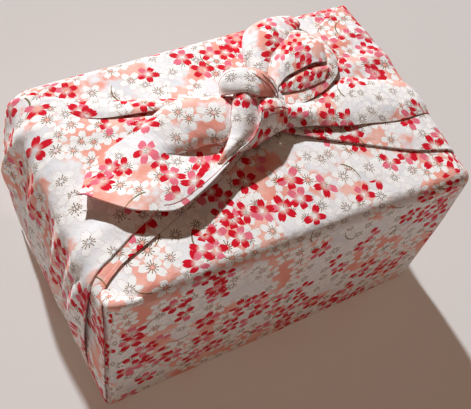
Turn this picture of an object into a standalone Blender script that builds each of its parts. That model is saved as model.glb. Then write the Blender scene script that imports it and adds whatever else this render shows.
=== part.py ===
"""Furoshiki wrap: one square cloth wrapped round a box and tied on top in a square knot.

The whole wrap is one solid, because it is one cloth: the filled parcel, the two fans of cloth that are drawn
up over its ends, their pleats, the knot, the spread left tail and the right tail's loop.
Run it with: blender --background --python part.py
"""

import math

import bmesh
import bpy
from mathutils import Vector

MM = 0.001

# Driving sizes, in millimetres. +X runs along the box, -Y is the front, and the table is z = 0.
LENGTH, WIDTH, HEIGHT = 300.0, 198.0, 162.0  # the box that the cloth goes round
TOP_ROUND = (14.0, 10.0, 10.0)  # how far the cloth's turn over a top edge reaches along x, y and z
FOOT_ROUND = (5.0, 3.0, 3.0)  # the same at the table
SHEET = 2.6  # thickness of a sheet that stands free
ROOT = 8.0  # how deep a fan's solid reaches into the parcel
MIDDLE = (-3.0, 0.7)  # middle of the whole wrap, measured from the middle of the box

# How far each corner of the cloth stands off the plain box: (end, side, level) to (x, y, z).
SLACK = {
    (-1, -1, 0): (-5, -4, 0),
    (1, -1, 0): (-1, -1.5, 0),
    (-1, 1, 0): (-14, 3, 0),
    (1, 1, 0): (5, 2, 0),
    (-1, -1, 1): (0, -1, 6),
    (1, -1, 1): (8, -1.5, -3),
    (-1, 1, 1): (0, 4, 6),
    (1, 1, 1): (2, 4, 11),
}
END_BULGE = 7.0  # slack of the end faces, largest at the back
SIDE_BULGE = 3.0  # slack of the front and back faces
TOP_CROWN = 9.0

PARCEL_CELLS = 16  # cells along each side of the parcel
TURN_CELLS = 2  # of them, those that turn an edge


# ---------------------------------------------------------------- the parcel's own shape


def blend(low, high, share):
    return low + (high - low) * share


def within(value, low, high):
    return max(low, min(high, value))


def slack_at(x, y, z):
    """The corners' slack, spread evenly between them."""
    shares = (x / LENGTH + 0.5, y / WIDTH + 0.5, z / HEIGHT)
    shares = [within(share, 0, 1) for share in shares]
    total = Vector((0, 0, 0))
    for (end, side, level), offset in SLACK.items():
        weight = 1
        for share, high in zip(shares, (end > 0, side > 0, level > 0)):
            weight *= share if high else 1 - share
        total += weight * Vector(offset)
    return total


def soften(x, y, z):
    """A point of the plain box, moved to where the slack cloth has it."""
    moved = Vector((x, y, z)) + slack_at(x, y, z)
    rise = within(z / HEIGHT, 0, 1)
    along = math.cos(math.pi / 2 * min(abs(x) * 2 / LENGTH, 1))
    across = math.cos(math.pi / 2 * min(abs(y) * 2 / WIDTH, 1))
    to_back = blend(0.25, 1, y / WIDTH + 0.5)
    swell = math.sin(math.pi * rise)
    moved.x += END_BULGE * swell * to_back * within(2.2 * x / LENGTH, -1, 1) ** 3
    moved.y += SIDE_BULGE * swell * along * within(2.2 * y / WIDTH, -1, 1) ** 3
    moved.z += TOP_CROWN * along * across * rise
    return moved


def on_wrap(u, v, lift):
    """A point lift millimetres off the cloth. u runs along the top and on down an end to the table, v is y."""
    round_x, _, round_z = TOP_ROUND
    flat = LENGTH / 2 - round_x
    turn = (round_x + round_z) / 2 * math.pi / 2
    side = math.copysign(1, u)
    past = abs(u) - flat
    if past <= 0:
        return soften(u, v, HEIGHT + lift)
    if past >= turn:
        return soften(side * (LENGTH / 2 + lift), v, HEIGHT - round_z - (past - turn))
    angle = math.pi / 2 * past / turn
    x = flat + (round_x + lift) * math.sin(angle)
    z = HEIGHT - round_z + (round_z + lift) * math.cos(angle)
    return soften(side * x, v, z)


def parcel_point(a, b, c):
    """A point of a cube's surface, from -1 to 1, moved onto the softened box. The outer cells turn the edges."""
    start = 1 - 2 * TURN_CELLS / PARCEL_CELLS
    up = within((c + 1) / 2, 0, 1)
    rounds = [blend(foot, top, up) for foot, top in zip(FOOT_ROUND, TOP_ROUND)]
    core, out = [], []
    for share, size, reach in zip((a, b, c), (LENGTH, WIDTH, HEIGHT), rounds):
        core.append((size / 2 - reach) * within(share / start, -1, 1))
        turned = max(0, (abs(share) - start) / (1 - start))
        out.append(math.copysign(math.tan(turned * math.pi / 4), share))
    out = Vector(out).normalized()
    x, y, z = (c + r * o for c, r, o in zip(core, rounds, out))
    return soften(x, y, z + HEIGHT / 2)


def parcel(collection):
    """The filled body: a cube drawn out to the box and softened."""
    data = bmesh.new()
    bmesh.ops.create_cube(data, size=2)
    bmesh.ops.subdivide_edges(data, edges=data.edges, cuts=PARCEL_CELLS - 1, use_grid_fill=True)
    for vert in data.verts:
        vert.co = parcel_point(*vert.co) * MM
    return new_object("furoshiki_wrap", data, collection)


# ---------------------------------------------------------------- lofts over the parcel


def through(before, start, end, after, share):
    """Catmull-Rom value between start and end."""
    return 0.5 * (
        2 * start
        + (end - before) * share
        + (2 * before - 5 * start + 4 * end - after) * share**2
        + (3 * start - before - 3 * end + after) * share**3
    )


def refine(rows, steps):
    """A table's rows, on smooth curves through them, with steps spans from each to the next."""
    fine = []
    last = len(rows) - 1
    for i in range(last):
        four = rows[max(i - 1, 0)], rows[i], rows[i + 1], rows[min(i + 2, last)]
        for step in range(steps):
            fine.append([through(*values, step / steps) for values in zip(*four)])
    fine.append(list(rows[last]))
    return fine


def new_object(name, data, collection):
    mesh = bpy.data.meshes.new(name)
    data.to_mesh(mesh)
    data.free()
    made = bpy.data.objects.new(name, mesh)
    collection.objects.link(made)
    return made


def joined_in(made):
    """Marks a piece that the parcel takes in, so that it isn't a piece of its own."""
    made.hide_render = True
    made.display_type = "WIRE"
    return made


def sheet(name, points, collection, thickness, offset):
    """A grid through rows of points, given a thickness."""
    rows, columns = len(points), len(points[0])
    data = bmesh.new()
    bmesh.ops.create_grid(data, x_segments=columns - 1, y_segments=rows - 1, size=0.5)
    for vert in data.verts:
        column = round((vert.co.x + 0.5) * (columns - 1))
        row = round((vert.co.y + 0.5) * (rows - 1))
        vert.co = points[row][column] * MM
    made = new_object(name, data, collection)
    shell = made.modifiers.new("thickness", "SOLIDIFY")
    shell.thickness = thickness * MM
    shell.offset = offset
    shell.use_even_offset = True
    shell.use_quality_normals = True
    return joined_in(made)


def net(name, table, collection, along=3, across=2):
    """A free sheet, smooth both ways through a table's points. Each row is one section of it."""
    sections = refine([[value for point in row for value in point] for row in table], along)
    points = []
    for section in sections:
        controls = [section[i : i + 3] for i in range(0, len(section), 3)]
        points.append([on_wrap(*point) for point in refine(controls, across)])
    return sheet(name, points, collection, SHEET, 0)


def fold(name, table, collection, steps=3, sides=10):
    """A soft fold that lies on the wrap. Each row is u, v, lift, half width and half height."""
    rows = refine(table, steps)
    data = bmesh.new()
    rings = []
    for i, (u, v, lift, half_width, half_height) in enumerate(rows):
        ahead, behind = rows[min(i + 1, len(rows) - 1)], rows[max(i - 1, 0)]
        way = Vector((ahead[0] - behind[0], ahead[1] - behind[1])).normalized()
        ring = []
        for k in range(sides):
            angle = 2 * math.pi * k / sides
            across = half_width * math.cos(angle)
            place = on_wrap(u - way.y * across, v + way.x * across, lift + half_height * math.sin(angle))
            ring.append(data.verts.new(place * MM))
        rings.append(ring)
    for near, far in zip(rings, rings[1:]):
        for k in range(sides):
            after = (k + 1) % sides
            data.faces.new((near[k], near[after], far[after], far[k]))
    data.faces.new(rings[0])
    data.faces.new(rings[-1])
    bmesh.ops.recalc_face_normals(data, faces=data.faces)
    return joined_in(new_object(name, data, collection))


# ---------------------------------------------------------------- the fans over the ends

# A fan's sections, from the knot out over an end and down it to the table:
# front hem's u and v, back hem's u and v, then the lift at the front hem, in the middle and at the back hem.
LEFT_FAN = (
    (3.5, -9, -1.5, 23.5, 4, 6, 4),
    (-33, -32, -28, 36.5, 3, 5, 3),
    (-68, -48.5, -60, 53, 2.5, 4, 2.5),
    (-103, -63, -98.5, 71, 2.5, 3.5, 2.5),
    (-139, -80, -138, 91, 2.5, 3, 2.5),
    (-154, -91, -155, 95, 2.5, 3, 2.5),
    (-180, -97.5, -180, 96, 2.5, 3, 2.5),
    (-230, -98.5, -230, 96, 2.5, 3, 2.5),
    (-296, -98.5, -296, 97, 1.5, 2, 1.5),
)
RIGHT_FAN = (
    (11.5, -7.5, 16.5, 25, 4, 5, 4),
    (33.5, -16, 37.5, 37.5, 3, 4, 3),
    (70.5, -36, 69, 54.5, 2.5, 3.5, 2.5),
    (109.5, -55.5, 105, 72.5, 2.5, 3, 2.5),
    (142, -68, 138.5, 89.5, 2.5, 3, 2.5),
    (155, -76, 155, 95, 2.5, 3, 2.5),
    (184, -87.5, 180, 96, 2.5, 3, 2.5),
    (230, -94.5, 230, 96, 2, 2.5, 2),
    (296, -96, 296, 97, 1.5, 2, 1.5),
)
FAN_CELLS = 10  # cells across a fan


def fan(name, table, collection):
    """The cloth of one end, from the knot to the foot of the end face, as a raised slab on the parcel."""
    points = []
    for front_u, front_v, back_u, back_v, front, middle, back in refine(table, 2):
        row = []
        for i in range(FAN_CELLS + 1):
            share = i / FAN_CELLS
            arch = 4 * share * (1 - share)
            lift = blend(blend(front, back, share), middle, arch)
            row.append(on_wrap(blend(front_u, back_u, share), blend(front_v, back_v, share), lift))
        points.append(row)
    inward = -1 if table[-1][0] < 0 else 1
    return sheet(name, points, collection, ROOT, inward)


# ---------------------------------------------------------------- the pleats, the knot and the tails

# Folds that lie on the wrap, each in rows of u, v, lift, half width, half height.
FOLDS = {
    "left_back_pleat": (
        (-27, 28, 5, 5, 5),
        (-56, 41, 4, 7, 4),
        (-88, 51, 3, 9, 3),
        (-127, 63, 1, 9, 2),
    ),
    "left_front_band": (
        (-25.5, -22.5, 5, 5, 3),
        (-58, -38.5, 4.5, 6.5, 2.6),
        (-86.5, -50.5, 4, 8, 2.4),
        (-108, -59, 3.5, 7, 2.4),
        (-127, -68, 3.5, 5.5, 2.4),
        (-142.5, -77.5, 3.5, 5, 2.6),
        (-150.5, -86.5, 3.5, 5, 2.6),
        (-179.5, -87, 3, 8, 2.4),
        (-229.5, -84, 2, 10, 2.2),
        (-282.5, -81, 0, 9, 1.6),
    ),
    # The tongue of slack cloth beside the band, down the end face.
    "left_tongue": (
        (-145.5, -76.5, 2, 3, 2.5),
        (-152.5, -75.5, 3.5, 4, 3.2),
        (-174.5, -64.5, 4.5, 5.5, 3.8),
        (-221.5, -55, 3.5, 6, 3.4),
        (-282.5, -44, 1.5, 4, 2.5),
    ),
    "left_back_tongue": (
        (-143, 53.5, 1.5, 4, 2.5),
        (-155.5, 59, 3, 5, 3),
        (-176.5, 68, 5, 7, 3.6),
        (-208.5, 78, 6, 7, 3.6),
        (-248, 93, 1, 5, 2.5),
    ),
    # The crumple at the top left of the front face.
    "corner_crumple": (
        (-147, -88, -1, 3, 4),
        (-143, -93, 0, 3, 5),
        (-138, -96.5, 1, 2.5, 4.5),
        (-131, -99, -2, 2.5, 3.5),
        (-121, -98.5, -5, 2, 2.5),
    ),
    # The right end's upper band, a slack tube by the knot that flattens out to the edge.
    "right_band": (
        (23, -1.5, 8, 8, 7),
        (41, -5.5, 8, 8, 6.5),
        (63, -2.5, 6, 14, 5.5),
        (87.5, -4.5, 4.5, 19, 4.2),
        (113.5, -8.5, 4, 21, 3.6),
        (137.5, -11, 5, 20, 3.6),
        (153, -14, 5.5, 18, 3.6),
        (197.5, -17, 3, 16, 2.8),
        (244.5, -16.5, 1, 12, 2),
    ),
    "right_front_pleat": (
        (33.5, -13.5, 3.5, 3, 3),
        (62.5, -27.5, 3, 5, 2.4),
        (88, -38, 2.8, 8, 2),
        (115, -45.5, 2.8, 11, 1.9),
        (150, -62, 2.8, 13, 1.9),
        (201.5, -67, 1.5, 8, 1.8),
    ),
    # The knot: its strap arches over from left to right, and two folds leave it for the left tail.
    "knot_strap": (
        (-12.5, 27.5, 5, 6, 5),
        (-8.5, 28.5, 13, 10, 6),
        (0.5, 27.5, 21, 12, 8),
        (11.5, 25, 24, 13, 8.5),
        (22.5, 19, 22, 12, 8),
        (31.5, 11, 14, 8, 6),
        (35.5, 6, 6, 5, 5),
    ),
    "knot_front_fold": (
        (35, -3, 6, 8, 6),
        (22.5, -5.5, 10, 9, 9),
        (10.5, -11, 11, 9, 9),
        (-2, -16.5, 11, 7, 7),
        (-15.5, -22, 10, 5.5, 4.5),
        (-33, -30.5, 10.5, 4, 2.5),
        (-54, -40, 11, 3, 1.5),
    ),
    "knot_middle_fold": (
        (5, 14, 13, 8, 8),
        (-1.5, 1.5, 13, 9, 8),
        (-7, -8.5, 12, 8, 6.5),
        (-17.5, -18, 12, 6, 4.5),
        (-33, -27, 11, 4.5, 2.5),
        (-52, -37.5, 11, 3, 1.5),
    ),
    # The lobe of the right tail that curls over behind its loop.
    "right_lobe": (
        (26, 33, 8, 7, 6),
        (35, 51, 11, 13, 7),
        (47, 64, 12, 17, 8),
        (61.5, 73, 11, 16, 7),
        (77.5, 80, 8, 12, 6),
        (90.5, 87, 3, 7, 4),
    ),
}

KNOT_HEART = (11.5, 9, 6)  # u, v and lift of the lump under the strap
HEART_RADII = (25, 19, 15)

# The left tail, spread out over its fan. Each section runs from its front hem to its back hem:
# front hem, face, tuck, lip, crest and back hem, each as u, v, lift.
LEFT_TAIL = (
    ((0, -13, 9), (-2.5, -7, 9), (-3.5, -0.5, 10), (-1.5, 3.5, 19), (-3, 13.5, 22), (-4.5, 21.5, 12)),
    ((-15.5, -22, 11), (-17, -13.5, 9), (-18.5, -3, 9), (-18, -9, 18), (-17.5, 13, 27), (-21, 27, 13)),
    ((-36.5, -35, 13), (-38, -23, 11), (-40, -5, 9), (-40.5, -12.5, 17), (-36.5, 14.5, 27), (-39, 31, 12)),
    ((-59.5, -46.5, 12), (-58.5, -29.5, 13), (-58.5, -11, 12), (-60.5, -4, 15), (-56, 15, 19), (-56.5, 31.5, 8)),
    ((-82, -51.5, 12), (-81, -33.5, 14), (-80, -16.5, 13), (-79.5, -2.5, 12), (-79, 12, 10), (-80, 22, 6)),
    ((-110, -38.5, 12), (-107, -26.5, 12), (-105.5, -14, 10), (-105, -3, 8), (-103.5, 8, 6), (-104, 17.5, 4)),
    ((-134.5, -13, 4), (-132, -8, 4.5), (-129, -3.5, 4.5), (-127, 1, 4.5), (-125.5, 4.5, 4), (-122.5, 9, 3.5)),
)

# The right tail's loop, from the knot out over the top and back beneath:
# near hem, middle and far hem of the ribbon, each as u, v, lift.
RIGHT_LOOP = (
    ((30.5, 15.5, 15), (30.5, 23.5, 15), (30, 31, 12)),
    ((42.5, 18, 23), (43.5, 31.5, 23), (43, 45, 17)),
    ((55.5, 18, 28), (57.5, 37.5, 30), (61.5, 58.5, 24)),
    ((72, 19.5, 31), (75.5, 40, 34), (78.5, 63.5, 26)),
    ((85, 15.5, 27), (89, 31.5, 31), (91, 47, 29)),
    ((87.5, 10.5, 20), (91, 24.5, 21), (94, 40, 20)),
    ((81, 6.5, 13), (84, 20, 12), (86.5, 34.5, 11)),
    ((65, 3, 9), (66.5, 16.5, 7), (69.5, 31.5, 7)),
    ((46, 3, 8), (46.5, 13.5, 6), (48, 25, 6)),
    ((31, 4, 8), (31.5, 12.5, 7), (32.5, 21.5, 7)),
)


def knot_heart(collection):
    data = bmesh.new()
    bmesh.ops.create_uvsphere(data, u_segments=16, v_segments=10, radius=1)
    for vert in data.verts:
        place = (middle + radius * share for middle, radius, share in zip(KNOT_HEART, HEART_RADII, vert.co))
        vert.co = on_wrap(*place) * MM
    return joined_in(new_object("knot_heart", data, collection))


# ---------------------------------------------------------------- the whole wrap


def cloth_material():
    material = bpy.data.materials.new("printed_cotton")
    material.use_nodes = True
    shader = material.node_tree.nodes["Principled BSDF"]
    shader.inputs["Base Color"].default_value = (0.86, 0.62, 0.57, 1)
    shader.inputs["Roughness"].default_value = 0.85
    shader.inputs["Metallic"].default_value = 0
    return material


def new_collection(name):
    made = bpy.data.collections.new(name)
    bpy.context.scene.collection.children.link(made)
    return made


def main():
    for old in list(bpy.data.objects):
        bpy.data.objects.remove(old)
    shown = new_collection("furoshiki_wrap")
    folds = new_collection("folds")

    wrap = parcel(shown)
    wrap.data.materials.append(cloth_material())
    fan("left_fan", LEFT_FAN, folds)
    fan("right_fan", RIGHT_FAN, folds)
    for name, table in FOLDS.items():
        fold(name, table, folds)
    knot_heart(folds)
    net("left_tail", LEFT_TAIL, folds)
    net("right_loop", RIGHT_LOOP, folds)

    union = wrap.modifiers.new("one_cloth", "BOOLEAN")
    union.operation = "UNION"
    union.operand_type = "COLLECTION"
    union.collection = folds
    union.solver = "EXACT"
    union.use_self = True

    for piece in (wrap, *folds.objects):
        piece.location = (-MIDDLE[0] * MM, -MIDDLE[1] * MM, 0)


main()
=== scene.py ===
"""Looks of the furoshiki wrap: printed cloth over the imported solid, a pale floor, soft light and the camera.

The tables repeat the part's own sizes, in millimetres measured from the middle of the wrapped box.
"""

import math

import bpy
from mathutils import Matrix, Vector, noise

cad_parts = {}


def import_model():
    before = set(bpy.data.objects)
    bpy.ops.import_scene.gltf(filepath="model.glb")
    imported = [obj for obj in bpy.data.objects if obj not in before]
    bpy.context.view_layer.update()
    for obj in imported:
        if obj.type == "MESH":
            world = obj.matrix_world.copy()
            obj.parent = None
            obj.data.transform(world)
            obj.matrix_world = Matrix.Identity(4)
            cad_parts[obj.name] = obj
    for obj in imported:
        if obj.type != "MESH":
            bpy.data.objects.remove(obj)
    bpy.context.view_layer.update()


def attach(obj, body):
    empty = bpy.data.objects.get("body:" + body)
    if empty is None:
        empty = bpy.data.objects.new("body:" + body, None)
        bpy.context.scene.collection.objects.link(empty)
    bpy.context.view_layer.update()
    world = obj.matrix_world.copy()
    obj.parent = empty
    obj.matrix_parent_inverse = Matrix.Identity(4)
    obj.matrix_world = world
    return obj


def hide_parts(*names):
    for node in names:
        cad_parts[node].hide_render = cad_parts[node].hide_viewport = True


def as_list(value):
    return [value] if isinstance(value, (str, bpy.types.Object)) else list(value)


MM = 0.001
NODE = "furoshiki_wrap"

# ---------------------------------------------------------------- the parcel's sizes, as in the part

LENGTH, WIDTH, HEIGHT = 300.0, 198.0, 162.0
TOP_ROUND = (14.0, 10.0, 10.0)
FOOT_ROUND = (5.0, 3.0, 3.0)
MIDDLE = (-3.0, 0.7)
# How far the slack cloth moves each corner of the plain box: end, side and level, then x, y and z.
SLACK = {
    (-1, -1, 0): (-5, -4, 0),
    (1, -1, 0): (-1, -1.5, 0),
    (-1, 1, 0): (-14, 3, 0),
    (1, 1, 0): (5, 2, 0),
    (-1, -1, 1): (0, -1, 6),
    (1, -1, 1): (8, -1.5, -3),
    (-1, 1, 1): (0, 4, 6),
    (1, 1, 1): (2, 4, 11),
}
END_BULGE, SIDE_BULGE, TOP_CROWN = 7.0, 3.0, 9.0

CLOTH = 0.9  # thickness of one layer of the cloth, as it shows at a hem
HEM = 4.0  # width of the turned hem
SKIN_CELLS = (100, 66, 56)  # cells of the parcel's cloth along x, y and z
SKIN_TURN = 5  # of them, those that turn an edge
HEM_ROLL, FAN_ROLL, EDGE_ROLL, CREASE_ROLL = 0.36, 0.24, 0.42, 0.6  # radii of the rolled hems and creases


def blend(low, high, share):
    return low + (high - low) * share


def within(value, low, high):
    return max(low, min(high, value))


def smooth(low, high, value):
    share = within((value - low) / (high - low), 0, 1)
    return share * share * (3 - 2 * share)


def slack_at(x, y, z):
    """How far the slack cloth moves a point of the plain box, shared out between the corners."""
    shares = [within(share, 0, 1) for share in (x / LENGTH + 0.5, y / WIDTH + 0.5, z / HEIGHT)]
    total = Vector((0, 0, 0))
    for (end, side, level), offset in SLACK.items():
        weight = 1
        for share, high in zip(shares, (end > 0, side > 0, level > 0)):
            weight *= share if high else 1 - share
        total += weight * Vector(offset)
    return total


def soften(x, y, z):
    """A point of the plain box, moved to where the slack cloth has it."""
    moved = Vector((x, y, z)) + slack_at(x, y, z)
    rise = within(z / HEIGHT, 0, 1)
    along = math.cos(math.pi / 2 * min(abs(x) * 2 / LENGTH, 1))
    across = math.cos(math.pi / 2 * min(abs(y) * 2 / WIDTH, 1))
    to_back = blend(0.25, 1, y / WIDTH + 0.5)
    swell = math.sin(math.pi * rise)
    moved.x += END_BULGE * swell * to_back * within(2.2 * x / LENGTH, -1, 1) ** 3
    moved.y += SIDE_BULGE * swell * along * within(2.2 * y / WIDTH, -1, 1) ** 3
    moved.z += TOP_CROWN * along * across * rise
    return moved


def on_wrap(u, v, lift):
    """A point lift millimetres off the cloth. u runs along the top and down an end to the table, v is y."""
    round_x, _, round_z = TOP_ROUND
    flat = LENGTH / 2 - round_x
    turn = (round_x + round_z) / 2 * math.pi / 2
    side = math.copysign(1, u)
    past = abs(u) - flat
    if past <= 0:
        return soften(u, v, HEIGHT + lift)
    if past >= turn:
        return soften(side * (LENGTH / 2 + lift), v, HEIGHT - round_z - (past - turn))
    angle = math.pi / 2 * past / turn
    x = flat + (round_x + lift) * math.sin(angle)
    z = HEIGHT - round_z + (round_z + lift) * math.cos(angle)
    return soften(side * x, v, z)


# ---------------------------------------------------------------- meshes with a cloth map


def ripple(x, y, size, seed):
    """Smooth noise from -1 to 1 whose waves are about size millimetres long."""
    return noise.noise(Vector((x / size, y / size, seed * 7.31)))


def new_piece(name, points, faces, uvs, thickness, inward=-1):
    """A cloth piece from points in millimetres, with a pair of UVs in metres for each corner of each face."""
    mesh = bpy.data.meshes.new(name)
    shift = Vector((-MIDDLE[0], -MIDDLE[1], 0))
    mesh.from_pydata([(point + shift) * MM for point in points], [], faces)
    layer = mesh.uv_layers.new(name="cloth")
    for corner, uv in zip(layer.data, uvs):
        corner.uv = uv
    mesh.shade_smooth()
    made = bpy.data.objects.new(name, mesh)
    bpy.context.scene.collection.objects.link(made)
    if thickness:
        shell = made.modifiers.new("cloth", "SOLIDIFY")
        shell.thickness = thickness * MM
        shell.offset = inward
        shell.use_quality_normals = True
    return made


def grid_piece(name, points, uv_rows, thickness, closed=False, inward=-1):
    """A cloth piece through rows of points. closed joins the last column to the first."""
    rows, columns = len(points), len(points[0])
    flat = [point for row in points for point in row]
    faces, uvs = [], []
    for i in range(rows - 1):
        for j in range(columns if closed else columns - 1):
            after = (j + 1) % columns
            here, above = i * columns, (i + 1) * columns
            faces.append((here + j, here + after, above + after, above + j))
            uvs += [uv_rows[i][j], uv_rows[i][j + 1], uv_rows[i + 1][j + 1], uv_rows[i + 1][j]]
    return new_piece(name, flat, faces, uvs, thickness, inward)


def through(before, start, end, after, share):
    """Catmull-Rom value between start and end."""
    return 0.5 * (
        2 * start
        + (end - before) * share
        + (2 * before - 5 * start + 4 * end - after) * share**2
        + (3 * start - before - 3 * end + after) * share**3
    )


def refine(rows, steps):
    """A table's rows, on smooth curves through them, with steps spans from each to the next."""
    fine = []
    last = len(rows) - 1
    for i in range(last):
        four = rows[max(i - 1, 0)], rows[i], rows[i + 1], rows[min(i + 2, last)]
        for step in range(steps):
            fine.append([through(*values, step / steps) for values in zip(*four)])
    fine.append(list(rows[last]))
    return fine


def lengths(points):
    """Distance along a row of points, starting at zero."""
    run = [0.0]
    for one, two in zip(points, points[1:]):
        run.append(run[-1] + (two - one).length)
    return run


def cloth_map(points, origin, turn=0.0, closed=False):
    """UVs in metres for rows of points, from the distances along and across the middle of the piece."""
    middle = len(points[0]) // 2
    along = lengths([row[middle] for row in points])
    cos, sin = math.cos(turn), math.sin(turn)
    mapped = []
    for run, row in zip(along, points):
        ring = row + [row[0]] if closed else row
        across = lengths(ring)
        start = across[middle]
        line = []
        for value in across:
            x, y = run * MM, (value - start) * MM
            line.append((origin[0] + x * cos - y * sin, origin[1] + x * sin + y * cos))
        mapped.append(line)
    return mapped


# ---------------------------------------------------------------- the parcel's own cloth


def skin_point(a, b, c):
    """A point of a cube's surface, from -1 to 1, moved onto the softened box, and the way out of it."""
    up = within((c + 1) / 2, 0, 1)
    rounds = [blend(foot, top, up) for foot, top in zip(FOOT_ROUND, TOP_ROUND)]
    core, out = [], []
    for share, size, reach, cells in zip((a, b, c), (LENGTH, WIDTH, HEIGHT), rounds, SKIN_CELLS):
        start = 1 - 2 * SKIN_TURN / cells
        core.append((size / 2 - reach) * within(share / start, -1, 1))
        turned = max(0, (abs(share) - start) / (1 - start))
        out.append(math.copysign(math.tan(turned * math.pi / 4), share))
    out = Vector(out).normalized()
    x, y, z = (c + r * o for c, r, o in zip(core, rounds, out))
    return soften(x, y, z + HEIGHT / 2), out


def skin_map(face, a, b, c):
    """The cloth map of the parcel: the girth runs up the front, over the top and down the back."""
    x, y, z = a * LENGTH / 2, (b + 1) / 2 * WIDTH, (c + 1) / 2 * HEIGHT
    if face == "front":
        return x, z
    if face == "top":
        return x, HEIGHT + y
    if face == "back":
        return x, 2 * HEIGHT + WIDTH - z
    if face == "under":
        return x, 2 * HEIGHT + 2 * WIDTH + WIDTH - y
    return math.copysign(LENGTH / 2 + HEIGHT - z, a), HEIGHT + y


def top_wrinkle(x, y):
    """Soft slack waves of the parcel's top, which the fans over it follow."""
    return 0.8 * ripple(x, y * 0.7, 48, 3) + 0.3 * ripple(x, y, 19, 4)


def skin_wrinkle(place, out):
    """How far the parcel's cloth stands off its even shape: soft slack waves, and a wavy foot."""
    x, y, z = place
    if out.z < -0.5:
        return 0.0
    side = 1 - abs(out.z)
    along = x if abs(out.y) > abs(out.x) else y
    calm = smooth(0, 25, z)
    drape = 1.3 * ripple(along, z * 0.45, 62, 1) + 0.5 * ripple(along, z * 0.8, 24, 2)
    return blend(top_wrinkle(x, y), drape * calm + 0.5 * ripple(along, 0, 30, 5) * (1 - calm), side)


def parcel_cloth():
    """The parcel's own cloth, one closed skin whose six sides share their edges."""
    points, index, faces, uvs = [], {}, [], []

    def vertex(key):
        if key not in index:
            shares = [2 * k / n - 1 for k, n in zip(key, SKIN_CELLS)]
            place, out = skin_point(*shares)
            index[key] = len(points)
            points.append(place + out * skin_wrinkle(place, out))
        return index[key]

    # Each side's fixed axis and which end of it, its two running axes, and whether its faces turn round.
    sides = (
        ("front", 1, 0, 0, 2, False),
        ("back", 1, 1, 0, 2, True),
        ("top", 2, 1, 0, 1, False),
        ("under", 2, 0, 0, 1, True),
        ("left", 0, 0, 1, 2, True),
        ("right", 0, 1, 1, 2, False),
    )
    for face, fixed, high, first, second, turned in sides:
        for i in range(SKIN_CELLS[first]):
            for j in range(SKIN_CELLS[second]):
                corners = []
                for di, dj in ((0, 0), (1, 0), (1, 1), (0, 1)):
                    key = [0, 0, 0]
                    key[fixed] = SKIN_CELLS[fixed] * high
                    key[first], key[second] = i + di, j + dj
                    corners.append(tuple(key))
                if turned:
                    corners.reverse()
                faces.append([vertex(key) for key in corners])
                for key in corners:
                    shares = [2 * k / n - 1 for k, n in zip(key, SKIN_CELLS)]
                    s, t = skin_map(face, *shares)
                    uvs.append((s * MM, t * MM))
    return new_piece("parcel_cloth", points, faces, uvs, CLOTH)


# ---------------------------------------------------------------- the fans over the ends

# A fan's sections, from the knot out over an end and down it to the table:
# front hem's u and v, back hem's u and v, then the lift at the front hem, in the middle and at the back hem.
LEFT_FAN = (
    (3.5, -6, -1.5, 23.5, 5, 6, 5),
    (-35, -26, -28, 30, 3.6, 5, 4),
    (-68, -36, -60, 38.5, 2.2, 4, 3),
    (-103, -48.5, -98.5, 60, 1.9, 3.2, 2.8),
    (-139, -67.5, -138, 84, 1.9, 3, 2.6),
    (-154, -75, -155, 92, 2.6, 3.2, 2.6),
    (-180, -76, -180, 95, 5.5, 3.4, 2.6),
    (-230, -73, -230, 96, 5.5, 3.2, 2.5),
    (-296, -66, -296, 97, 2, 2, 1.5),
)
# The narrow pleat that shows below the left fan's front hem.
LEFT_PLEAT = (
    (3, -12, 2, 0, 2.4, 2.6, 2),
    (-36, -34, -33, -20, 1, 1.4, 1.2),
    (-61, -43, -60, -27, 0.6, 1, 0.8),
    (-82.5, -52.5, -78, -30, 0.6, 1, 0.8),
    (-107, -62.5, -101, -40, 0.6, 1, 0.8),
    (-129, -70.5, -124, -50, 0.6, 1, 0.8),
    (-139, -77, -136, -58, 0.7, 1, 0.8),
    (-146, -83, -146, -64, 0.8, 1.4, 1),
    (-152, -90, -155, -66, 1, 1.6, 1.2),
    (-168.5, -95, -172, -66, 1.2, 1.8, 1.2),
    (-194, -98, -196, -63, 1.4, 1.8, 1.2),
    (-226, -99, -228, -60, 1.4, 1.6, 1.2),
    (-296, -99, -296, -56, 1.4, 1.5, 1.2),
)
RIGHT_FAN = (
    (11.5, -14, 16.5, 25, 4, 5, 4),
    (33.5, -25.5, 37.5, 37.5, 1.8, 4, 3),
    (70.5, -44, 69, 54.5, 0.5, 3.2, 2.5),
    (109.5, -61.5, 105, 72.5, 0.3, 2.8, 2.5),
    (141, -71, 138.5, 89.5, 0.3, 2.8, 2.5),
    (155, -72, 155, 95, 0.4, 2.8, 2.5),
    (184, -80, 180, 96, 1.3, 2.8, 2.5),
    (230, -90, 230, 96, 1.8, 2.5, 2),
    (296, -96, 296, 97, 1.5, 2, 1.5),
)
FAN_STEPS, FAN_CELLS = 16, 72
KNOT_MIDDLE = 8  # u and v of the point that the fans are gathered towards
LOOSE_FROM, LOOSER = 150, 0.2  # where the fans' print starts to run looser down an end, and by how much

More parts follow.
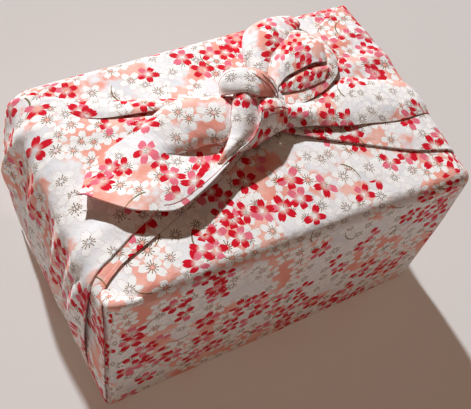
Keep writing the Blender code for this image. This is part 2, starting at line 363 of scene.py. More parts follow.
# Soft ridges that the fans' own cloth rises into. Each row is u, v, half width and height.
LEFT_RIDGES = (
    ((-145.5, -76.5, 4, 1.5), (-153, -75, 6, 3), (-175, -64.5, 8, 5), (-222, -55, 9, 4.5), (-283, -44, 7, 2)),
    ((-143, 53.5, 5, 1), (-155.5, 59, 7, 4), (-176.5, 68, 9, 7), (-208.5, 78, 9, 7), (-248, 91, 7, 2)),
    ((-156, 20, 8, 1), (-180, 24, 9, 5), (-225, 30, 10, 5), (-280, 34, 10, 1)),
    ((-156, -25, 7, 1), (-185, -22, 8, 4.5), (-240, -14, 9, 4.5), (-285, -10, 8, 1)),
    ((-150, -55, 5, 0.8), (-172, -48, 6, 3.2), (-215, -40, 7, 3.2), (-262, -34, 7, 1)),
    ((-30, 10, 5, 1), (-70, 22, 7, 1.6), (-120, 36, 9, 1.4), (-150, 44, 9, 0.8)),
    ((-60, -22, 6, 1), (-105, -36, 8, 1.6), (-140, -48, 8, 1.2), (-165, -50, 7, 0.8)),
)
RIGHT_RIDGES = (
    ((28, 22, 5, 1), (60, 34, 7, 1.8), (100, 48, 9, 1.8), (150, 62, 9, 1)),
    ((40, 8, 5, 1), (75, 20, 8, 2.2), (112, 26, 9, 2.8), (150, 30, 9, 2.2), (200, 32, 9, 0.8)),
    ((156, 45, 8, 1), (190, 52, 12, 3), (240, 56, 12, 2.5), (285, 58, 10, 1)),
    ((156, -45, 8, 1), (190, -48, 10, 2.5), (240, -46, 10, 2), (285, -44, 8, 1)),
)

# Each fan's name, sections, ridges, the seed of its waves and where its cloth map starts.
FANS = (
    ("left_pleat", LEFT_PLEAT, (), 0.77, (0, 1.401)),
    ("left_fan", LEFT_FAN, LEFT_RIDGES, 0.21, (0.96, 2.3)),
    ("right_fan", RIGHT_FAN, RIGHT_RIDGES, 0.43, (0, 1.061)),
)


def ridge_height(u, v, ridges):
    """How high the ridges stand at a point."""
    total = 0.0
    for rows in ridges:
        best = 0.0
        for one, two in zip(rows, rows[1:]):
            du, dv = two[0] - one[0], two[1] - one[1]
            share = within(((u - one[0]) * du + (v - one[1]) * dv) / (du * du + dv * dv), 0, 1)
            near = [blend(a, b, share) for a, b in zip(one, two)]
            gap = math.hypot(u - near[0], v - near[1]) / near[2]
            best = max(best, near[3] * math.exp(-gap * gap))
        total += best
    return total


def fan_cloth(name, table, ridges, seed, origin):
    """A fan of cloth from the knot over an end, and the roll of its front hem."""
    points, uv_rows = [], []
    for front_u, front_v, back_u, back_v, front, middle, back in refine(table, FAN_STEPS):
        row, line = [], []
        for i in range(FAN_CELLS + 1):
            share = i / FAN_CELLS
            arch = 4 * share * (1 - share)
            u, v = blend(front_u, back_u, share), blend(front_v, back_v, share)
            edge = min(share, 1 - share) * abs(back_v - front_v)
            lift = blend(blend(front, back, share), middle, arch) - 0.4 * (1 - smooth(0, 9, edge))
            lift += 0.3 * (1 - smooth(HEM - 1, HEM, edge))
            free = smooth(0, 16, edge)
            run = math.hypot(u - KNOT_MIDDLE, v - KNOT_MIDDLE)
            angle = math.atan2(v - KNOT_MIDDLE, u - KNOT_MIDDLE)
            gather = 1.2 * noise.noise(Vector((angle * 7, seed, 0))) * math.exp(-((run / 110) ** 2))
            down = smooth(150, 185, abs(u))
            wave = 0.7 * ripple(u, v, 34, seed) + down * 1.2 * ripple(u * 0.4, v, 26, seed + 1)
            lift += free * (gather + wave + ridge_height(u, v, ridges))
            lift = max(lift, 0.3) + top_wrinkle(u, v) * (1 - down)
            row.append(on_wrap(u, v, lift))
            x = u + LOOSER * max(0, -u - LOOSE_FROM)
            y = v - 0.15 * (v + 20) * smooth(135, 260, -u)
            line.append((origin[0] + x * MM, origin[1] + y * MM))
        points.append(row)
        uv_rows.append(line)
    inward = 1 if table[-1][0] < 0 else -1
    sheet = grid_piece(name, points, uv_rows, CLOTH, inward=inward)
    return sheet, [hem_roll(f"{name}_hem", [row[0] for row in points], FAN_ROLL)]


# ---------------------------------------------------------------- folds that lie on the wrap

# Each in rows of u, v, lift, half width, half height.
FOLDS = {
    "corner_crumple": (
        (-146, -82, 0, 2, 2),
        (-146.5, -88, 0.8, 3.4, 3.2),
        (-143.5, -94, 1.2, 4.2, 4),
        (-138, -97, 0.8, 4.2, 3.8),
        (-132.5, -97.5, -0.6, 3.2, 3),
        (-127, -97.5, -2.2, 1.8, 1.8),
    ),
    "right_lobe": (
        (26, 33, 8, 7, 6),
        (35, 51, 11, 13, 7),
        (47, 64, 12, 17, 8),
        (61.5, 73, 11, 16, 7),
        (77.5, 80, 8, 12, 6),
        (90.5, 87, 3, 7, 4),
    ),
}
FOLD_STEPS, FOLD_SIDES = 12, 40
FOLD_ROUGH = 0.06  # how much a fold's outline swells and shrinks, as a share


def fold_cloth(name, table, origin, turn):
    """A soft fold that lies on the wrap: a slack tube of cloth, closed at both ends."""
    rows = refine(table, FOLD_STEPS)
    rings = []
    for i, (u, v, lift, half_width, half_height) in enumerate(rows):
        ahead, behind = rows[min(i + 1, len(rows) - 1)], rows[max(i - 1, 0)]
        way = Vector((ahead[0] - behind[0], ahead[1] - behind[1])).normalized()
        ring = []
        for k in range(FOLD_SIDES):
            angle = 2 * math.pi * k / FOLD_SIDES
            wave = ripple(u + 40 * math.cos(angle), v + 40 * math.sin(angle), 16, len(name))
            swell = 1 + FOLD_ROUGH * wave
            across = half_width * math.cos(angle) * (2 - swell)
            rise = lift + half_height * math.sin(angle) * swell
            ring.append(on_wrap(u - way.y * across, v + way.x * across, rise))
        rings.append(ring)
    return tube_piece(name, rings, cloth_map(rings, origin, turn, closed=True))


def tube_piece(name, rings, uv_rows):
    """A closed tube through rings of points, drawn together to a point at both ends."""
    rings, uv_rows = list(rings), list(uv_rows)
    for at in (0, -1):
        middle = sum(rings[at], Vector((0, 0, 0))) / len(rings[at])
        for share in (0.5, 0.02):
            ring = [middle.lerp(point, share) for point in rings[0 if at == 0 else -1]]
            place = 0 if at == 0 else len(rings)
            rings.insert(place, ring)
            uv_rows.insert(place, uv_rows[0 if at == 0 else -1])
    return grid_piece(name, rings, uv_rows, 0, closed=True)


HEM_SIDES, HEM_STEPS = 8, 10


def hem_roll(name, path, radius):
    """The rolled edge of a hem, along a row of points."""
    rings, side = [], None
    for i, point in enumerate(path):
        way = (path[min(i + 1, len(path) - 1)] - path[max(i - 1, 0)]).normalized()
        side = way.cross(Vector((0, 0, 1))) if side is None else side - way * side.dot(way)
        side.normalize()
        up = side.cross(way)
        turns = [2 * math.pi * k / HEM_SIDES for k in range(HEM_SIDES)]
        rings.append([point + (side * math.cos(turn) + up * math.sin(turn)) * radius for turn in turns])
    return tube_piece(name, rings, cloth_map(rings, (0.2, 0.2), closed=True))


# ---------------------------------------------------------------- the tails

# The left tail, spread out over its fan. Each section runs from its front hem to its back hem:
# front hem, face, tuck, lip, shoulder, crest and back hem, each as u, v, lift.
LEFT_TAIL = (
    (
        (0, -13, 9), (-2.5, -10, 9), (-5, -6, 8), (-5, -5, 12),
        (-3, 1, 15.5), (-4, 10, 17), (-6, 19, 11),
    ),
    (
        (-20, -25, 11.5), (-22, -20, 9), (-25, -8, 6.5), (-28.7, -15.9, 12),
        (-25, -7.5, 17), (-21, 12, 19), (-21, 25, 11),
    ),
    (
        (-41, -36.6, 12.5), (-40, -28, 9.5), (-44, -10, 7), (-44.2, -13.9, 12.3),
        (-44, -6.5, 18), (-43, 18, 21), (-40, 29, 12),
    ),
    (
        (-64.5, -47.9, 12), (-61, -33, 11.5), (-61, -12, 8.5), (-61.8, -13, 10.3),
        (-60, -6, 15.5), (-58, 20, 18), (-56.5, 29.5, 10),
    ),
    (
        (-83.4, -53.2, 11.5), (-81, -37, 12.5), (-79, -16, 10.5), (-78.5, -7, 11),
        (-77, 2, 11), (-76, 14, 10.5), (-77, 21, 8),
    ),
    (
        (-98.4, -48.7, 11.5), (-96, -35, 12.5), (-94, -20, 10.5), (-93, -8, 9.5),
        (-92, 2, 9), (-92, 9, 8), (-93, 16, 7),
    ),
    (
        (-115.5, -40.6, 13.8), (-113, -29, 12.5), (-111, -18, 10.5), (-110, -9, 9),
        (-109.5, -2, 8), (-109, 5, 7), (-108.5, 11.5, 6),
    ),
    (
        (-137.6, -19, 15), (-135.5, -14.5, 11.5), (-133, -10, 10), (-131, -6.5, 9),
        (-129, -3, 8), (-127, 0.5, 7), (-125, 3.5, 6),
    ),
)

# The right tail's loop: its upper layer, from the knot out to where it turns down:
# near hem, middle and far hem of the ribbon, each as u, v, lift.
RIGHT_LOOP = (
    ((30, 14, 13), (31, 23, 13), (31, 32, 10)),
    ((40, 19.5, 16), (41, 30, 18.5), (42, 44, 15)),
    ((54, 22.5, 17), (57, 38, 20.5), (60.5, 55.5, 18)),
    ((68.5, 25.2, 17.5), (72, 42, 20.5), (76, 66, 14)),
    ((78, 25.2, 15.5), (84, 43, 18.5), (86, 61, 12)),
    ((83, 27, 12.5), (89.5, 43, 13.5), (90, 58, 10)),
    ((80, 30, 10.5), (88, 43, 10), (88, 55, 8)),
)

# The layer inside the loop: tuck, crest, belly and near hem.
LOOP_LINING = (
    ((35.3, 22.2, 8), (31.5, 16, 12), (30.6, 12.7, 12.5), (30.2, 10.5, 11)),
    ((48.4, 26, 9), (43.7, 18.7, 14), (40.6, 13.5, 13.6), (38, 8.8, 11.3)),
    ((61.2, 29, 10), (55.3, 21.4, 15), (51.2, 14, 14), (47.3, 7.7, 11.6)),
    ((73.3, 30, 10), (66.9, 21.8, 15), (62.3, 14, 14), (59, 8.8, 11.8)),
    ((85.3, 28.8, 9), (80, 20.3, 14), (77.5, 17.3, 13.2), (71, 11.2, 11.6)),
)

# The loop's lower layer, round its end: outer hem, middle and inner side.
LOOP_UNDER = (
    ((29.4, 3, 9), (31, 9, 9.5), (33, 16, 9)),
    ((35.5, -1.7, 9), (38, 8, 10), (40, 17, 9.5)),
    ((43.9, -2.7, 9), (46, 8, 10.6), (47, 18, 10.8)),
    ((64.7, 2.7, 9), (62, 11, 11.1), (59, 20, 10.8)),
    ((77.1, 8.7, 9), (72, 16, 11.6), (66, 24, 10.8)),
    ((87.2, 15.8, 9), (80, 22, 12), (72, 29, 10)),
    ((93.9, 25.6, 9), (86, 30, 12.5), (76, 35, 10)),
    ((97.2, 35.6, 9), (89, 38, 13), (78, 42, 11)),
    ((98, 50.2, 8.5), (90, 50, 12), (79, 50, 10)),
    ((94, 64, 6), (88, 61, 8), (78, 58, 8)),
)

# The band over the right fan: front hem, belly, crest and the tuck behind it.
RIGHT_BAND = (
    ((14, -12, 7), (15, -8, 13), (20, -3, 14), (23, 2, 7)),
    ((24, -17.5, 6), (25, -12, 12), (30, -4, 12), (33, 2, 5)),
    ((44, -22, 5.5), (46, -14, 9.5), (50, -4, 8.5), (53, 5, 6.5)),
    ((67.5, -29, 5), (68, -18, 8), (72, -1, 8.3), (76, 10, 5.5)),
    ((89, -32, 3.8), (90, -19, 7.5), (94, 5, 7.2), (97, 16, 3)),
    ((114.5, -35.5, 3.3), (115, -22, 6.5), (117, 0, 6), (118, 9, 1.5)),
    ((136, -35.5, 3), (136.5, -22, 6.5), (137, -5, 6), (138, 4, 1.5)),
    ((153, -34, 3), (153, -22, 6), (153, -8, 5.5), (153, 1, 1.5)),
    ((197.5, -34, 2.5), (197.5, -24, 4.5), (197.5, -12, 4), (197.5, -4, 1)),
    ((245, -30, 1.5), (245, -23, 2.5), (245, -14, 2), (245, -8, 0.5)),
)

# The pleat along the left fan's back hem: front hem, belly, crest and tuck.
LEFT_BACK_PLEAT = (
    ((-20, 24, 10), (-21, 27, 11), (-23, 31, 9), (-25, 34, 4)),
    ((-42, 27.5, 8), (-42, 31, 9), (-43, 36, 7), (-44, 40, 3)),
    ((-62.5, 31.5, 6.5), (-62.5, 35, 7.5), (-61, 41, 6), (-60, 45, 3)),
    ((-83, 36.5, 5.5), (-82, 41, 6.5), (-79, 48, 5), (-78, 53, 2)),
    ((-100, 42, 4), (-99, 48, 5), (-95, 55, 4.5), (-93, 60, 1.5)),
    ((-122, 54, 2.6), (-121, 59, 3), (-117, 66, 3), (-114, 71, 1.2)),
)

# The knot. Its strap arches over from left to right: tuck, lower hem, face, crest and back.
KNOT_STRAP = (
    ((-11, 27, 4), (-12.5, 24.5, 8), (-12.5, 27, 10.5), (-11, 30, 11), (-8, 33, 6)),
    ((-12, 21, 13), (-16, 16.6, 19.5), (-16.2, 21, 23.5), (-13.5, 27.5, 23), (-8, 36, 10)),
    ((-5, 18, 19), (-11.5, 11, 25.3), (-11.5, 18.5, 29), (-7.5, 29.5, 28.5), (-2, 40, 12)),
    ((2, 14, 20), (-3, 6.8, 27.6), (-2, 15.5, 31.5), (2.3, 27.5, 30.5), (9, 38, 14)),
    ((9, 10, 19), (3, 2.4, 26.8), (5.5, 11, 31), (12.2, 24, 29.5), (19, 34, 14)),
    ((18, 8, 13), (12.8, 3, 21), (14, 9, 26), (21, 19.8, 25), (28, 29, 12)),
    ((29, 8, 4), (24.5, 4.5, 11), (26.5, 8, 14), (29.5, 14, 14), (33, 22, 7)),
)
# The fold that comes out from under the strap: tuck, left hem, belly and crease.
MIDDLE_FOLD = (
    ((-6.6, 17.1, 18), (-8.1, 12.9, 24), (-1.5, 10.7, 27), (7.9, 8.1, 23)),
    ((-8.2, 11.3, 16), (-12, 8.6, 22), (-6.5, 2.9, 26.5), (3.5, 0, 22)),
    ((-13.8, 1.9, 12), (-19.5, -2.8, 19), (-12.3, -8.8, 23.5), (0.1, -10.3, 18)),
    ((-18.9, -8, 11), (-23.5, -11.4, 17), (-17, -17.2, 20), (-4.6, -19.5, 14)),
    ((-25.4, -16.1, 10), (-29.6, -18.9, 15.5), (-24.5, -22.9, 18), (-15.7, -24.3, 13.5)),
    ((-32.7, -22.5, 10), (-36.4, -25.5, 14.5), (-32.9, -27.5, 16), (-27.1, -27.8, 13)),
    ((-40.1, -28.6, 9.5), (-42.8, -30.3, 11), (-41.6, -31.6, 11.5), (-38.7, -32.4, 11)),
)
# The fold that crosses in front of it from the right: crease, crest, face and lower edge.
FRONT_FOLD = (
    ((35.5, -2.7, 6), (32.1, -8.9, 8.5), (28.2, -14.1, 8), (26.5, -16.8, 5)),
    ((26.9, 2, 13), (23.3, -6.2, 15.5), (19.9, -13.3, 12.5), (18.8, -17.2, 5)),
    ((14.2, 0.8, 21), (10.5, -8.2, 22.5), (8, -16, 17), (8.2, -19.7, 6)),
    ((4.4, 1.7, 21.5), (1.5, -8.9, 23.5), (-2.9, -18.7, 18), (-4.1, -23.6, 8)),
    ((-0.5, -9.2, 18), (-3.7, -16.3, 21), (-9.1, -21.7, 16.5), (-13.6, -26.4, 9)),
    ((-5.5, -18.6, 14.5), (-9.5, -22, 17.5), (-16.4, -25.2, 15), (-21.8, -27, 10)),
    ((-16.4, -24, 13.5), (-19.2, -26.4, 15.5), (-25, -28, 14), (-28.5, -28, 11)),
    ((-27.9, -28, 12.5), (-30.4, -29.4, 13.8), (-34.4, -31.2, 13.5), (-37.1, -32.1, 12)),
    ((-38.1, -32.6, 11), (-39.9, -33.6, 12), (-41.9, -34.5, 12), (-43.2, -35, 11)),
)

# Rolled edges of the cloth's corner where it winds round the knot, as u, v, lift.
KNOT_EDGES = {
    "strap_edge": ((4.5, 22.5, 31.4), (8.6, 17, 31.6), (13, 11, 29.4), (17.5, 7, 24.5), (22.5, 4.5, 16)),
    "strap_inner_edge": ((13.5, 20.5, 29.6), (18, 14, 27.2), (22.5, 9.3, 21.5), (25.5, 5.5, 14.5)),
}

# Each free sheet: its table, where its cloth map starts, the turn of the map, steps along and across, and its
# rolled edges, each by its place across the table and the rows where it starts and ends.
NETS = {
    "left_tail": (LEFT_TAIL, (0.3, 2.2), 0.4, 14, 14, ((0.36, 0.4, 4.6),)),
    "right_loop": (RIGHT_LOOP, (1.3, 2.6), 0.2, 14, 20, ()),
    "loop_lining": (LOOP_LINING, (2.055, 2.969), 0, 12, 12, ((3, 0, 4),)),
    "loop_under": (LOOP_UNDER, (0.7, 3.4), 1.3, 10, 12, ((0, 0, 9),)),
    "right_band": (RIGHT_BAND, (2.3, 0.9), 0.3, 12, 12, ((0, 0, 9),)),
    "left_back_pleat": (LEFT_BACK_PLEAT, (0.6, 1.1), 2.6, 12, 10, ((0, 0, 5),)),
    "knot_strap": (KNOT_STRAP, (2.13, 3.183), 0, 12, 12, ((1, 0, 6), (2.75, 0.5, 2.6))),
    "knot_middle_fold": (MIDDLE_FOLD, (2.033, 3.088), math.pi, 12, 12, ((1, 0, 6),)),
    "knot_front_fold": (FRONT_FOLD, (3.9, 0.7), 2.1, 12, 12, ((1.1, 0.7, 2.8), (1.5, 0.9, 2.4))),
}


def net_cloth(name, table, origin, turn, along, across, hems):
    """A free sheet, smooth both ways through a table's points, and the rolls of its hems."""
    sections = refine([[value for point in row for value in point] for row in table], along)
    points = []
    for section in sections:
        controls = [section[i : i + 3] for i in range(0, len(section), 3)]
        row = []
        for u, v, lift in refine(controls, across):
            lift += 0.6 * ripple(u, v, 22, 11)
            row.append(on_wrap(u, v, lift))
        points.append(row)
    sheet = grid_piece(name, points, cloth_map(points, origin, turn), CLOTH, inward=0)
    rolls = []
    for i, (at, first, last) in enumerate(hems):
        path = [row[round(at * across)] for row in points[round(first * along) : round(last * along) + 1]]
        radius = HEM_ROLL if at in (0, len(table[0]) - 1) else CREASE_ROLL
        rolls.append(hem_roll(f"{name}_hem_{i + 1}", path, radius))
    return sheet, rolls


KNOT_HEART = (11.5, 9, 6)  # u, v and lift of the lump under the strap
HEART_RADII = (21, 16, 13)
HEART_RINGS, HEART_SIDES = 24, 48


def knot_heart():
    """The round lump of cloth under the strap."""
    rings = []
    for i in range(1, HEART_RINGS):
        down = math.pi * i / HEART_RINGS
        ring = []
        for k in range(HEART_SIDES):
            angle = 2 * math.pi * k / HEART_SIDES
            share = (math.sin(down) * math.cos(angle), math.sin(down) * math.sin(angle), math.cos(down))
            ring.append(on_wrap(*(m + r * s for m, r, s in zip(KNOT_HEART, HEART_RADII, share))))
        rings.append(ring)
    return tube_piece("knot_heart", rings, cloth_map(rings, (2.1, 0.4), closed=True))


# ---------------------------------------------------------------- the printed cotton


def srgb(red, green, blue):
    """A colour given as it shows, from 0 to 255, as the linear colour that a node takes."""
    shown = [value / 255 for value in (red, green, blue)]
    return (*(v / 12.92 if v <= 0.04045 else ((v + 0.055) / 1.055) ** 2.4 for v in shown), 1)


GROUND = srgb(247, 246, 248)
BLOTCH = srgb(224, 226, 232)
SALMON = srgb(255, 202, 188)
SALMON_DEEP = srgb(250, 166, 148)
PETAL = srgb(255, 254, 252)
PETAL_HEART = srgb(253, 236, 222)
RED = srgb(222, 10, 40)
ROSE = srgb(240, 118, 138)
PINK_HEART = srgb(250, 202, 206)
STAMEN = srgb(48, 41, 30)
GOLD = srgb(206, 170, 96)
TWIG = srgb(128, 108, 58)
OUTLINE = srgb(214, 172, 150)
HEM_DARK = srgb(142, 60, 56)
HEM_LIGHT = srgb(206, 132, 122)

PETALS, STAMENS = 5, 11
# Layers of white and of red blossoms: the spacing and radius in metres, the shift of their cells, and the share
# of the white ones that is there, or how crowded a place has to be for the red ones.
WHITE_BLOSSOMS = ((0.0180, 0.0096, (1.7, 5.2, 0), 1.0), (0.0212, 0.0092, (7.4, 2.6, 0), 0.45))
RED_BLOSSOMS = ((0.0196, 0.0100, (4.9, 9.3, 0), 0.54), (0.0225, 0.0094, (8.8, 0.4, 0), 0.57))
TWIG_SPACING = 0.04
BARE, PALE = 0.16, 0.76  # of a red blossom's petals: the share left out, and where rose ones start
THREADS = 420  # scale of the weave, whose waves run about 1,300 to a metre


class Nodes:
    """Short names for the nodes of one material."""

    def __init__(self, material):
        self.tree = material.node_tree

    def add(self, kind, **settings):
        node = self.tree.nodes.new("ShaderNode" + kind)
        for key, value in settings.items():
            setattr(node, key, value)
        return node

    def put(self, socket, value):
        if hasattr(value, "links"):
            self.tree.links.new(value, socket)
        else:
            socket.default_value = value

    def math(self, operation, *values, clamp=False):
        node = self.add("Math", operation=operation, use_clamp=clamp)
        for socket, value in zip(node.inputs, values):
            self.put(socket, value)
        return node.outputs[0]

    def vector(self, operation, *values):
        node = self.add("VectorMath", operation=operation)
        for socket, value in zip(node.inputs, values):
            self.put(socket, value)
        return node.outputs["Value" if operation == "LENGTH" else "Vector"]

    def step(self, value, low, high):
        """0 below low and 1 above high, smooth between them."""
        node = self.add("MapRange", interpolation_type="SMOOTHSTEP")
        for key, given in (("Value", value), ("From Min", low), ("From Max", high)):
            self.put(node.inputs[key], given)
        return node.outputs["Result"]

    def mix(self, share, one, two):
        node = self.add("Mix", data_type="RGBA")
        colours = [socket for socket in node.inputs if socket.type == "RGBA"]
        self.put(node.inputs["Factor"], share)
        self.put(colours[0], one)
        self.put(colours[1], two)
        return next(socket for socket in node.outputs if socket.type == "RGBA")

    def noise(self, place, size, detail=2.0, rough=0.5):
        """Noise over the cloth, with waves of about size metres."""
        node = self.add("TexNoise", noise_dimensions="2D")
        self.put(node.inputs["Vector"], place)
        node.inputs["Scale"].default_value = 1 / size
        node.inputs["Detail"].default_value = detail
        node.inputs["Roughness"].default_value = rough
        return node.outputs["Fac"]


def blossoms(nodes, place, spacing, radius, shift):
    """Scattered blossoms: their petals and stamens as masks, and what varies from one to the next."""
    put = nodes.math
    moved = nodes.vector("MULTIPLY_ADD", place, (1 / spacing,) * 3, shift)
    cells = nodes.add("TexVoronoi", voronoi_dimensions="2D", feature="F1")
    nodes.put(cells.inputs["Vector"], moved)
    cells.inputs["Scale"].default_value = 1
    cells.inputs["Randomness"].default_value = 0.72
    local = nodes.vector("SUBTRACT", moved, cells.outputs["Position"])
    flat = nodes.add("SeparateXYZ")
    nodes.put(flat.inputs[0], local)
    chance = nodes.add("SeparateColor")
    nodes.put(chance.inputs[0], cells.outputs["Color"])
    turn, kind, size = chance.outputs

    grown = put("MULTIPLY_ADD", size, 0.22 * spacing / radius, 0.9 * spacing / radius)
    x, y = put("MULTIPLY", flat.outputs[0], grown), put("MULTIPLY", flat.outputs[1], grown)
    reach = put("SQRT", put("MULTIPLY_ADD", x, x, put("MULTIPLY", y, y)))
    around = put("MULTIPLY_ADD", turn, 2 * math.pi, put("ARCTAN2", y, x))
    fifths = put("MULTIPLY", around, PETALS / (2 * math.pi))
    number = put("FLOOR", fifths)
    off = put("MULTIPLY", put("SUBTRACT", put("SUBTRACT", fifths, number), 0.5), 2 * math.pi / PETALS)
    out = put("MULTIPLY", reach, put("COSINE", off))
    aside = put("ABSOLUTE", put("MULTIPLY", reach, put("SINE", off)))

    long_way = put("DIVIDE", put("SUBTRACT", out, 0.58), 0.42)
    wide_way = put("DIVIDE", aside, 0.285)
    oval = put("SUBTRACT", 1, put("MULTIPLY_ADD", long_way, long_way, put("MULTIPLY", wide_way, wide_way)))
    notch = put("SUBTRACT", put("MULTIPLY", aside, 1.5), put("SUBTRACT", out, 0.88))
    inside = put("MINIMUM", oval, put("MULTIPLY", notch, 4))
    petal = nodes.step(inside, -0.05, 0.16)
    edge = put("SUBTRACT", nodes.step(inside, -0.3, -0.1), petal, clamp=True)

    rays = put("MULTIPLY", around, STAMENS / (2 * math.pi))
    ray_off = put("ABSOLUTE", put("SUBTRACT", put("FRACT", rays), 0.5))
    ray_gap = put("MULTIPLY", put("MULTIPLY", ray_off, reach), 2 * math.pi / STAMENS)
    thread = put("SUBTRACT", 1, nodes.step(ray_gap, 0.010, 0.035))
    each = nodes.add("TexWhiteNoise", noise_dimensions="2D")
    ray = nodes.add("CombineXYZ")
    nodes.put(ray.inputs[0], put("FLOOR", rays))
    nodes.put(ray.inputs[1], put("MULTIPLY", turn, 57.3))
    nodes.put(each.inputs["Vector"], ray.outputs[0])
    tip_at = put("MULTIPLY_ADD", each.outputs["Value"], 0.22, 0.25)
    inner = nodes.step(reach, 0.1, 0.16)
    ends = put("SUBTRACT", 1, nodes.step(put("SUBTRACT", reach, tip_at), 0.0, 0.04))
    off_tip = put("SUBTRACT", reach, tip_at)
    dot_gap = put("SQRT", put("MULTIPLY_ADD", ray_gap, ray_gap, put("MULTIPLY", off_tip, off_tip)))
    dot = put("SUBTRACT", 1, nodes.step(dot_gap, 0.022, 0.052))
    stamen = put("MAXIMUM", put("MULTIPLY", put("MULTIPLY", thread, inner), put("MULTIPLY", ends, 0.95)), dot)

    lot = nodes.add("TexWhiteNoise", noise_dimensions="2D")
    pair = nodes.add("CombineXYZ")
    nodes.put(pair.inputs[0], number)
    nodes.put(pair.inputs[1], put("MULTIPLY", turn, 91.7))
    nodes.put(lot.inputs["Vector"], pair.outputs[0])
    centre = nodes.vector("MULTIPLY", cells.outputs["Position"], (spacing,) * 3)
    return {
        "petal": petal,
        "edge": edge,
        "stamen": stamen,
        "reach": reach,
        "kind": kind,
        "lot": lot.outputs["Value"],
        "centre": centre,
    }


def twigs(nodes, place, spacing, shift):
    """Short curved twigs, one in some of the cells."""
    put = nodes.math
    moved = nodes.vector("MULTIPLY_ADD", place, (1 / spacing,) * 3, shift)
    cells = nodes.add("TexVoronoi", voronoi_dimensions="2D", feature="F1")
    nodes.put(cells.inputs["Vector"], moved)
    cells.inputs["Scale"].default_value = 1
    chance = nodes.add("SeparateColor")
    nodes.put(chance.inputs[0], cells.outputs["Color"])
    turned = nodes.add("VectorRotate", rotation_type="Z_AXIS")
    nodes.put(turned.inputs["Vector"], nodes.vector("SUBTRACT", moved, cells.outputs["Position"]))
    nodes.put(turned.inputs["Angle"], put("MULTIPLY", chance.outputs[0], 2 * math.pi))
    flat = nodes.add("SeparateXYZ")
    nodes.put(flat.inputs[0], turned.outputs[0])
    x, y = flat.outputs[0], flat.outputs[1]
    bend = put("SUBTRACT", y, put("MULTIPLY", put("MULTIPLY", x, x), 1.6))
    taper = put("MULTIPLY_ADD", x, 0.025, 0.0125)
    thin = put("SUBTRACT", 1, nodes.step(put("DIVIDE", put("ABSOLUTE", bend), taper), 0.6, 1.2))
    ends = put("SUBTRACT", 1, nodes.step(put("ABSOLUTE", x), 0.2, 0.23))
    there = put("LESS_THAN", chance.outputs[1], 0.5)
    return put("MULTIPLY", put("MULTIPLY", thin, ends), there)


def printed_cotton():
    """White cotton with grey clouds, salmon patches, white and red blossoms, and twigs."""
    material = bpy.data.materials.new("printed_cotton")
    material.use_nodes = True
    nodes = Nodes(material)
    put = nodes.math
    shader = nodes.tree.nodes["Principled BSDF"]
    place = nodes.add("UVMap", uv_map="cloth").outputs[0]

    blotch = nodes.step(nodes.noise(place, 0.026, 3), 0.48, 0.66)
    colour = nodes.mix(put("MULTIPLY", blotch, 0.55), GROUND, BLOTCH)
    patch = nodes.step(nodes.noise(place, 0.050, 4, 0.55), 0.46, 0.54)
    depth = nodes.step(nodes.noise(place, 0.022, 3), 0.3, 0.68)
    colour = nodes.mix(patch, colour, nodes.mix(depth, SALMON, SALMON_DEEP))

    for spacing, radius, shift, share in WHITE_BLOSSOMS:
        flower = blossoms(nodes, place, spacing, radius, shift)
        there = put("LESS_THAN", flower["kind"], share)
        petal = put("MULTIPLY", flower["petal"], there)
        colour = nodes.mix(put("MULTIPLY", put("MULTIPLY", flower["edge"], there), 0.42), colour, OUTLINE)
        face = nodes.mix(nodes.step(flower["reach"], 0.1, 0.5), PETAL_HEART, PETAL)
        colour = nodes.mix(petal, colour, face)
        colour = nodes.mix(put("MULTIPLY", flower["stamen"], there), colour, STAMEN)
    colour = nodes.mix(twigs(nodes, place, TWIG_SPACING, (3.3, 8.1, 0)), colour, TWIG)

    for spacing, radius, shift, level in RED_BLOSSOMS:
        flower = blossoms(nodes, place, spacing, radius, shift)
        crowd = nodes.noise(flower["centre"], 0.05, 1, 0.4)
        there = put("GREATER_THAN", crowd, level)
        whole = put("GREATER_THAN", flower["lot"], BARE)
        petal = put("MULTIPLY", put("MULTIPLY", flower["petal"], there), whole)
        tip = nodes.mix(put("GREATER_THAN", flower["lot"], PALE), RED, ROSE)
        face = nodes.mix(nodes.step(flower["reach"], 0.12, 0.52), PINK_HEART, tip)
        colour = nodes.mix(petal, colour, face)
        colour = nodes.mix(put("MULTIPLY", put("MULTIPLY", flower["stamen"], there), 0.5), colour, GOLD)
    nodes.put(shader.inputs["Base Color"], colour)

    warp = nodes.add("TexWave", wave_type="BANDS", bands_direction="X")
    weft = nodes.add("TexWave", wave_type="BANDS", bands_direction="Y")
    for wave in (warp, weft):
        nodes.put(wave.inputs["Vector"], place)
        wave.inputs["Scale"].default_value = THREADS
        wave.inputs["Distortion"].default_value = 1.5
        wave.inputs["Detail"].default_value = 1
    thread = put("ADD", warp.outputs["Fac"], weft.outputs["Fac"])
    crease = nodes.noise(nodes.vector("MULTIPLY", place, (1, 0.45, 1)), 0.012, 4, 0.6)
    rough = put("MULTIPLY_ADD", nodes.noise(place, 0.02, 2), 0.12, 0.78)
    nodes.put(shader.inputs["Roughness"], rough)
    shader.inputs["Sheen Weight"].default_value = 0.06
    shader.inputs["Sheen Roughness"].default_value = 0.5
    shader.inputs["Specular IOR Level"].default_value = 0.15

    coarse = nodes.add("Bump")
    coarse.inputs["Strength"].default_value = 0.7
    coarse.inputs["Distance"].default_value = 0.0018
    nodes.put(coarse.inputs["Height"], crease)
    fine = nodes.add("Bump")
    fine.inputs["Strength"].default_value = 0.25
    fine.inputs["Distance"].default_value = 0.0001
    nodes.put(fine.inputs["Height"], thread)
    nodes.put(fine.inputs["Normal"], coarse.outputs[0])
    nodes.put(shader.inputs["Normal"], fine.outputs[0])
    return material


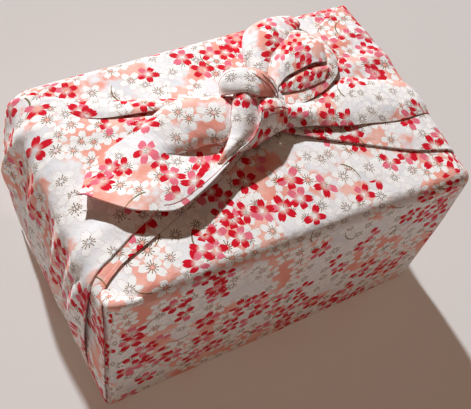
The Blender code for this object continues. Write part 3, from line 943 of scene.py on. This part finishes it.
def hem_cotton():
    """The rolled hem, in a mottled dark red that is darker than the print, so that each roll shows as a thin
    dark line.
    """
    material = bpy.data.materials.new("hem_cotton")
    material.use_nodes = True
    nodes = Nodes(material)
    shader = nodes.tree.nodes["Principled BSDF"]
    place = nodes.add("UVMap", uv_map="cloth").outputs[0]
    shade = nodes.step(nodes.noise(place, 0.009, 3), 0.35, 0.7)
    nodes.put(shader.inputs["Base Color"], nodes.mix(shade, HEM_DARK, HEM_LIGHT))
    nodes.put(shader.inputs["Roughness"], nodes.math("MULTIPLY_ADD", shade, 0.1, 0.8))
    bump = nodes.add("Bump")
    bump.inputs["Strength"].default_value = 0.4
    bump.inputs["Distance"].default_value = 0.0002
    nodes.put(bump.inputs["Height"], nodes.noise(place, 0.0012, 2))
    nodes.put(shader.inputs["Normal"], bump.outputs[0])
    return material


# ---------------------------------------------------------------- camera, floor and light

CAMERA_PLACE = (-0.20997, -0.28254, 0.57530)
CAMERA_AZIMUTH, CAMERA_ELEVATION, CAMERA_ROLL = -37.84, 55.036, 12.991
FOCAL_PIXELS, IMAGE_WIDTH, SENSOR = 700, 471, 36
FLOOR_REACH = 30
FLOOR_GREY, FLOOR_GLOW, FLOOR_GLOW_COLOUR = 0.5, 0.125, (1, 0.68, 0.5, 1)
SUN_WAY, SUN_STRENGTH, SUN_SPREAD, SUN_COLOUR = (0.02, 0.77, 0.64), 4.2, 2, (0.95, 0.98, 1)
SKY_COLOUR, SKY_STRENGTH = (1, 0.63, 0.45, 1), 0.15


def camera():
    """The camera at the photograph's own place, turn and focal length."""
    azimuth, elevation, roll = (math.radians(a) for a in (CAMERA_AZIMUTH, CAMERA_ELEVATION, CAMERA_ROLL))
    back = Vector(
        (
            math.sin(azimuth) * math.cos(elevation),
            -math.cos(azimuth) * math.cos(elevation),
            math.sin(elevation),
        )
    )
    right = Vector((0, 0, 1)).cross(back).normalized()
    up = back.cross(right)
    tilted = right * math.cos(roll) + up * math.sin(roll)
    upright = up * math.cos(roll) - right * math.sin(roll)
    data = bpy.data.cameras.new("camera")
    data.sensor_fit = "HORIZONTAL"
    data.sensor_width = SENSOR
    data.lens = SENSOR * FOCAL_PIXELS / IMAGE_WIDTH
    made = bpy.data.objects.new("camera", data)
    made.matrix_world = Matrix((tilted, upright, back)).transposed().to_4x4()
    made.location = CAMERA_PLACE
    bpy.context.scene.collection.objects.link(made)
    bpy.context.scene.camera = made


def floor():
    """A plain pale floor with a faint warm glow, which lights the sides that the sun leaves in the shade."""
    mesh = bpy.data.meshes.new("floor")
    corners = [(x * FLOOR_REACH, y * FLOOR_REACH, 0) for x, y in ((-1, -1), (1, -1), (1, 1), (-1, 1))]
    mesh.from_pydata(corners, [], [(0, 1, 2, 3)])
    material = bpy.data.materials.new("floor")
    material.use_nodes = True
    shader = material.node_tree.nodes["Principled BSDF"]
    shader.inputs["Base Color"].default_value = (FLOOR_GREY, FLOOR_GREY, FLOOR_GREY, 1)
    shader.inputs["Roughness"].default_value = 0.9
    shader.inputs["Emission Color"].default_value = FLOOR_GLOW_COLOUR
    shader.inputs["Emission Strength"].default_value = FLOOR_GLOW
    mesh.materials.append(material)
    made = bpy.data.objects.new("floor", mesh)
    bpy.context.scene.collection.objects.link(made)


def light():
    """The sun from behind, and a warm fill from all round."""
    data = bpy.data.lights.new("sun", "SUN")
    data.energy = SUN_STRENGTH
    data.angle = math.radians(SUN_SPREAD)
    data.color = SUN_COLOUR
    made = bpy.data.objects.new("sun", data)
    made.rotation_euler = Vector(SUN_WAY).to_track_quat("Z", "Y").to_euler()
    bpy.context.scene.collection.objects.link(made)
    world = bpy.data.worlds.new("studio")
    world.use_nodes = True
    sky = world.node_tree.nodes["Background"]
    sky.inputs["Color"].default_value = SKY_COLOUR
    sky.inputs["Strength"].default_value = SKY_STRENGTH
    bpy.context.scene.world = world
    bpy.context.scene.view_settings.view_transform = "Standard"


# ---------------------------------------------------------------- everything together


def main():
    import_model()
    camera()
    floor()
    light()
    cloth, hem = printed_cotton(), hem_cotton()

    cloths = [(parcel_cloth(), []), (knot_heart(), [])]
    cloths += [fan_cloth(*fan) for fan in FANS]
    for i, (name, table) in enumerate(FOLDS.items()):
        cloths.append((fold_cloth(name, table, (0.9 + 0.31 * i, 1.4), 0.7 * i), []))
    cloths += [net_cloth(name, *net) for name, net in NETS.items()]

    for sheet, rolls in cloths:
        if sheet.name == "knot_strap":
            for name, table in KNOT_EDGES.items():
                path = [on_wrap(*place) for place in refine(table, HEM_STEPS)]
                rolls.append(hem_roll(name, path, EDGE_ROLL))
        for piece in [sheet] + rolls:
            piece.data.materials.append(cloth if piece is sheet else hem)
            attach(piece, "root")
            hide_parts(NODE)
    for sheet, rolls in cloths:
        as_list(rolls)


main()
